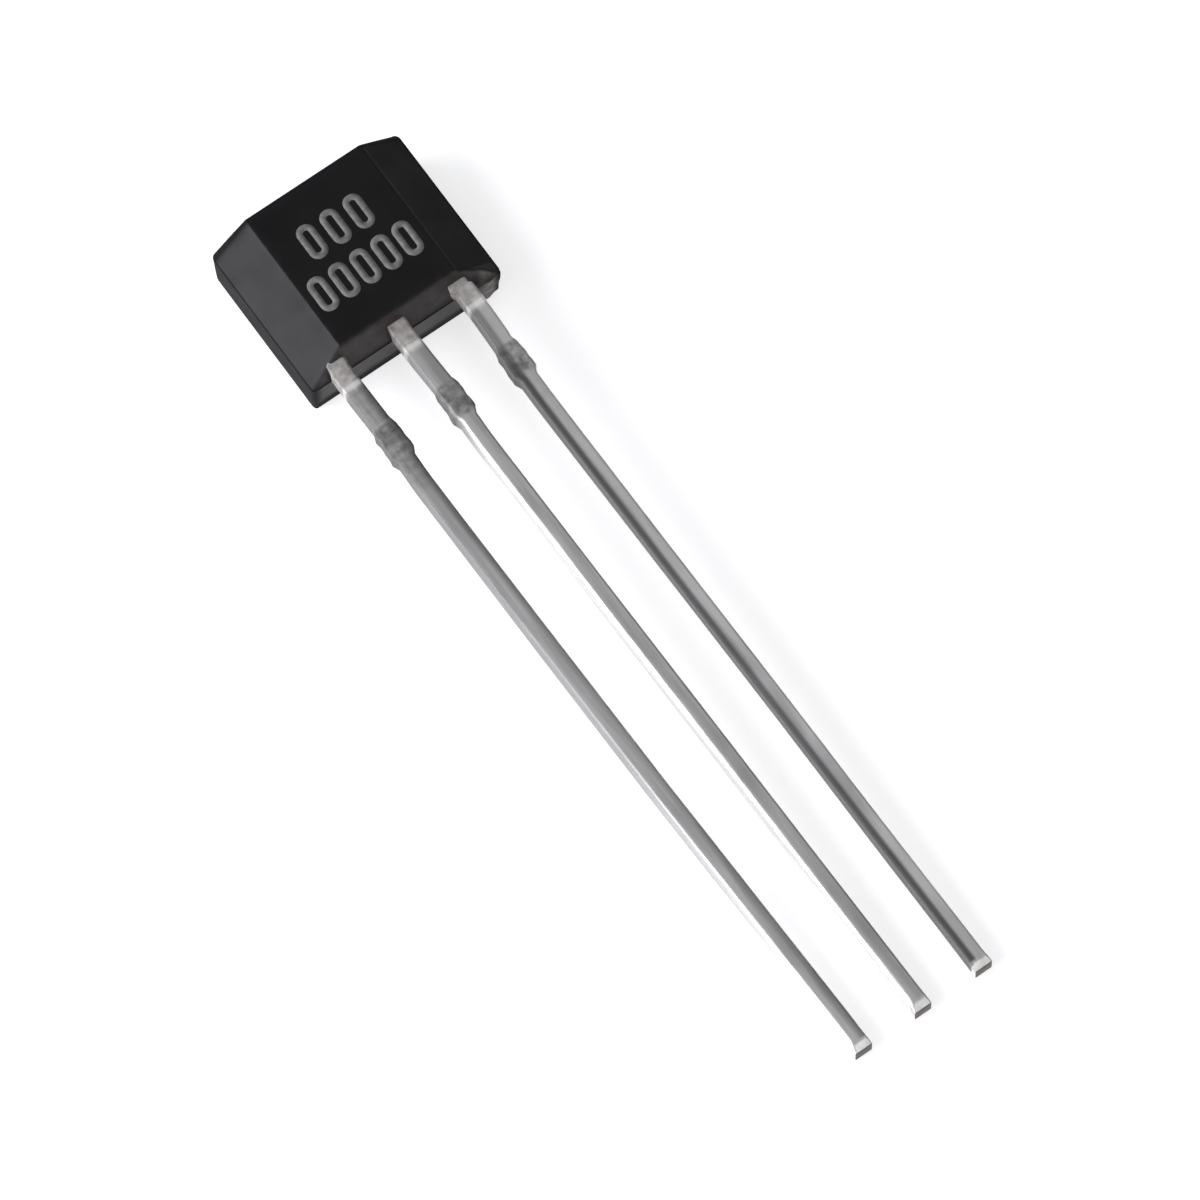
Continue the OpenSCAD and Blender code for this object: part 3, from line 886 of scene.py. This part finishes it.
def leadSection(form, y, left, right, tall, leftRadii):
    # a rounded oblong, anticlockwise from its right side: x = side * (half width - r) + r cos a and
    # z = side * (half thickness - r) + r sin a on its four corners, then points shared out between them;
    # part is a point's share of the side that it lies on, 0 on the corners
    n, shares = form["cornerSteps"], form["sideShares"]
    angle = np.concatenate([np.linspace(0, np.pi / 2, n) + k * np.pi / 2 for k in range(4)])
    sideX, sideZ = np.repeat([1, -1, -1, 1], n), np.repeat([1, 1, -1, -1], n)
    length, start = form["tipBlunting"]
    blunt = np.interp(y, [tipY, tipY + length], [start, 1])
    frontLeft = np.interp(y, [tipY, halfWay, stubFoot, stubTop], leftRadii) * blunt
    level = np.ones_like(y)
    backLeft, backRight = form["leftBackRadius"] * level, form["backEdgeRadius"] * level
    r = np.repeat(np.stack([form["rightRadius"] * blunt, frontLeft, backLeft, backRight], 1), n, 1)
    x = sideX * (np.where(sideX > 0, right, left) - r) + r * np.cos(angle)
    z = sideZ * (tall - r) + r * np.sin(angle)
    first = np.concatenate([np.append(np.arange(n), np.full(len(shares), n - 1)) + n * k for k in range(4)])
    part = np.tile(np.append(np.zeros(n), shares), 4)
    x, z = (v[:, first] * (1 - part) + v[:, (first + 1) % (4 * n)] * part for v in (x, z))
    return x, z, part


# the finish and the painted light that the leads share; lengths in mm, the rest shares of 1
leadFinishAndShade = {
    "filmLength": 0.32,  # resin film from the body down, and the painted highlight band at its end
    "filmFade": (0.05, 0.02),
    "filmAmount": 0.9,
    "highlightBandLength": 0.12,
    "highlightBandFade": (0.02, 0.06, 0.08),
    "highlightBandAmount": 0.7,
    "mottledFade": (1.1, 0.3),  # below the stubs, and less on the shoulder
    "mottledShoulder": 0.7,
    "cutFace": 0.85,  # cut surfaces are barest on the sides
    "cutSide": 0.98,
    "shearedLength": 0.007,
    "edgeFade": 0.1,
    "darkReflectionDown": 0.6,  # the painted dark reflection band goes this far down the wall
    "leftWallShadeAcross": (-0.6, -0.95),
    "leftWallShadeStart": 0.1,
    "leftWallShadePlace": 1.2,  # how far below the stubs leftWallShadeStrength has its third value
}


def leadMarks(y, z, part, across, tall, torn, finish, look):
    # masks from 0 to 1, each a product of smooth steps along the lead and across it; across runs from -1 at
    # the lead's left side to 1 at its right
    filmLength, fade = finish["filmLength"], finish["filmFade"]
    film = 1 - smoothStep(filmLength - fade[0], filmLength + fade[1], -y)
    # painted highlight band just below the film
    before, rise, fall = finish["highlightBandFade"]
    fromFilm = -y - filmLength
    highlightBand = smoothStep(-before, rise, fromFilm)
    highlightBand = highlightBand * (1 - smoothStep(-before, fall, fromFilm - finish["highlightBandLength"]))
    far, close = finish["mottledFade"]
    mottled = look["mottled"] * smoothStep(stubFoot - far, stubFoot - close, y) * (y < stubFoot)
    onShoulder = (y > stubTop) & (y < -filmLength - finish["highlightBandLength"])
    mottled = np.maximum(mottled, finish["mottledShoulder"] * look["mottled"] * onShoulder)
    cut = np.maximum(torn, mottled) * np.where(np.abs(across) > finish["cutSide"], 1.0, finish["cutFace"])
    # a painted dark reflection along one side of the front and on the tip bevel, and painted shade down the
    # left wall
    strength = np.interp(y, [tipY, halfWay, stubFoot, stubTop], look["darkReflectionBand"])
    darkReflection = smoothStep(*look["darkReflectionAcross"], across) * strength * (z > -finish["darkReflectionDown"] * tall)
    onTip = (y > tipY + finish["shearedLength"]) & (y < tipCutEnd)
    darkReflection = darkReflection * (y > tipCutEnd) + look["darkReflectionTip"] * onTip * (z > 0)
    leftWallShadePlaces = [tipY, halfWay, stubFoot - finish["leftWallShadePlace"], stubFoot, stubTop]
    leftWallShade = smoothStep(*finish["leftWallShadeAcross"], across) * np.interp(y, leftWallShadePlaces, look["leftWallShadeStrength"])
    return {
        "edge": np.exp(-np.minimum(part, 1 - part) / finish["edgeFade"]),
        "film": film * finish["filmAmount"],
        "highlightBand": highlightBand * finish["highlightBandAmount"],
        "cut": cut,
        "sheared": 1.0 * (y < tipY + finish["shearedLength"]),
        "darkReflection": darkReflection,
        "leftWallShade": leftWallShade * (y > tipY + finish["leftWallShadeStart"]),
    }


def leadSurface(form, centreX, inner, look):
    # the section carried along the lead: turned by roll * sin(pi w)^power on its way w from the tip to the
    # stubs, then shifted across with the row of leads and by the lead's own small bends
    y = leadRings(form, inner)
    left, right, top, bottom, torn = leadSides(form, y, inner, look["seed"])
    middle, tall = (top + bottom) / 2, (top - bottom) / 2
    x, z, part = leadSection(form, y, left, right, tall, look["leftRadii"])
    across = x / np.where(x > 0, right, left)
    way = np.clip((y - tipY) / (stubFoot - tipY), 0, 1)
    turn = np.radians(look["roll"]) * (np.sin(np.pi * way)[:, None] ** form["rollPower"])
    x, z = x * np.cos(turn) - z * np.sin(turn), x * np.sin(turn) + z * np.cos(turn)
    shift = np.interp(y, [tipY, form["shiftEnd"], form["neckStart"]], [form["tipShift"], exitShift, 0])
    shift = shift + np.interp(-y, form["bendPlaces"], look["bends"]) * (y < 0)
    rings = np.stack(np.broadcast_arrays(centreX + x + shift[:, None], y[:, None], middle + z), -1)
    return rings, False, leadMarks(y[:, None], z, part, across, tall, torn, leadFinishAndShade, look)


# what sets one lead apart from the next: bends are offsets across the row at the bend places, in mm;
# leftRadii and darkReflectionBand have their values at the tip, half way, and at the foot and the top of the
# stubs, and leftWallShadeStrength has one more, below the stubs; darkReflectionAcross is where the painted
# dark reflection band starts and is full
leadLooks = {
    "supply": {
        "seed": 0.3,
        "roll": -3.0,
        "leftRadii": (0.10, 0.045, 0.03, 0.03),
        "bends": (-0.02, -0.01, -0.052, -0.05, -0.035, 0.004, 0.04),
        "darkReflectionAcross": (-0.1, 0.6),
        "darkReflectionBand": (0.6, 0.4, 0.75, 0.75),
        "darkReflectionTip": 0.28,
        "leftWallShadeStrength": (0, 0.75, 0.88, 0.9, 0.9),
        "mottled": 0.6,
    },
    "ground": {
        "seed": 1.7,
        "roll": 0.0,
        "leftRadii": (0.10, 0.10, 0.09, 0.03),
        "bends": (-0.01, 0.013, -0.026, -0.022, -0.013, -0.01, 0),
        "darkReflectionAcross": (-0.9, 0.4),
        "darkReflectionBand": (0.3, 0.1, 0.15, 0.5),
        "darkReflectionTip": 0.3,
        "leftWallShadeStrength": (0, 0, 0, 0.85, 0.8),
        "mottled": 0,
    },
    "output": {
        "seed": 3.1,
        "roll": 4.0,
        "leftRadii": (0.02, 0.02, 0.02, 0.02),
        "bends": (0.05, 0.013, -0.009, -0.01, -0.005, -0.014, -0.009),
        "darkReflectionAcross": (0.0, -0.45),
        "darkReflectionBand": (0.95, 0.85, 0.95, 0.6),
        "darkReflectionTip": 0.3,
        "leftWallShadeStrength": (0.9, 0.9, 0.9, 0.9, 0.8),
        "mottled": 0.2,
    },
}
for name, place, inner in (("supply", -1, 1), ("ground", 0, 0), ("output", 1, -1)):
    surface = leadSurface(leadForm, place * package["leadPitch"], inner, leadLooks[name])
    makePiece(name + "Lead", [surface], tin, "lead_" + name)


studio = {
    "leftWall": (0.84, 0.89, 1.0, 1),
    "rightWall": (0.13, 0.13, 0.13, 1),
    "wallRange": (-0.7, 0.7),
    "ceiling": (0.38, 0.38, 0.39, 1),
    "ceilingRange": (0.4, 0.85),
    # softboxes: (direction from the object, distance in m, size in m, radiance, tint)
    "softboxes": {
        "leftSoftbox": ((-0.87, 0.26, 0.42), 0.40, 0.40, 4.8, (0.985, 0.975, 1.04)),
        "frontSoftbox": ((0.18, -0.56, 0.81), 0.50, 0.20, 1.6, (1.0, 1.0, 1.0)),
    },
}

world = bpy.data.worlds.new("studioWorld")
bpy.context.scene.world = world
world.use_nodes = True
tree = world.node_tree
direction = addNode(tree, "TexCoord").outputs["Generated"]
heading = addNode(tree, "SeparateXYZ", Vector=direction).outputs
across = stretch(tree, heading["X"], *studio["wallRange"])
rise = stretch(tree, heading["Z"], *studio["ceilingRange"], interpolation_type="SMOOTHSTEP")
walls = mixColour(tree, across, studio["leftWall"], studio["rightWall"])
fillSockets(tree, tree.nodes["Background"].inputs, Color=mixColour(tree, rise, walls, studio["ceiling"]))

for name, (towards, distance, size, radiance, tint) in studio["softboxes"].items():
    lamp = bpy.data.lights.new(name, "AREA")
    lamp.color = tint
    lamp.size = size
    lamp.energy = radiance * np.pi * size ** 2  # pi times the area
    box = bpy.data.objects.new(name, lamp)
    aim = Vector(towards).normalized()
    box.location = aim * distance
    box.rotation_euler = aim.to_track_quat("Z", "Y").to_euler()
    bpy.context.scene.collection.objects.link(box)
print("studio lit by", len(studio["softboxes"]), "softboxes")

# a paper floor; its white shows to the camera and in reflections, and the shadow stays
floorSheet = {
    "paper": (0.62, 0.62, 0.62, 1),
    "blotches": (0.6169, 0.6169, 0.6169, 1),
    "glow": (0.64, 0.64, 0.64, 1),
    "grainPerMm": 6.0,
    "blotchesPerMm": 0.05,
    "roughness": 0.9,
    "specularLevel": 0.2,
    "size": 1.2,
}
paper, tree, shader = newMaterial("paperFloor")
fibres = grained(tree, millimetres(tree), floorSheet["grainPerMm"], floorSheet["blotchesPerMm"])
rays = addNode(tree, "LightPath").outputs
seen = maths(tree, "MAXIMUM", rays["Is Camera Ray"], rays["Is Glossy Ray"])
seen = maths(tree, "MAXIMUM", seen, rays["Is Transmission Ray"])
fillSockets(tree, shader,
            Base_Color=mixColour(tree, fibres["Mottle"], floorSheet["paper"], floorSheet["blotches"]),
            Emission_Color=mixColour(tree, seen, (0, 0, 0, 1), floorSheet["glow"]), Emission_Strength=1.0,
            Roughness=floorSheet["roughness"], Specular_IOR_Level=floorSheet["specularLevel"])
half = floorSheet["size"] / 2
corners = [(-half, -half, 0), (half, -half, 0), (half, half, 0), (-half, half, 0)]
sheet = bpy.data.meshes.new("floor")
sheet.from_pydata(corners, [], [(0, 1, 2, 3)])
sheet.materials.append(paper)
floor = bpy.data.objects.new("floor", sheet)
bpy.context.scene.collection.objects.link(floor)

cameraSetting = {
    "place": (-0.0288197, -0.0537818, 0.1460262),
    "turn": (22.56038, 2.96359, -35.15778),
    "lens": 276.292,
    "sensorWidth": 36,
    "clip": (0.01, 10),
}
camera = bpy.data.objects.new("camera", bpy.data.cameras.new("camera"))
camera.data.lens = cameraSetting["lens"]
camera.data.sensor_width = cameraSetting["sensorWidth"]
camera.data.clip_start, camera.data.clip_end = cameraSetting["clip"]
camera.location = cameraSetting["place"]
camera.rotation_euler = np.radians(cameraSetting["turn"])
bpy.context.scene.collection.objects.link(camera)
bpy.context.scene.camera = camera
bpy.context.scene.view_settings.view_transform = "Standard"
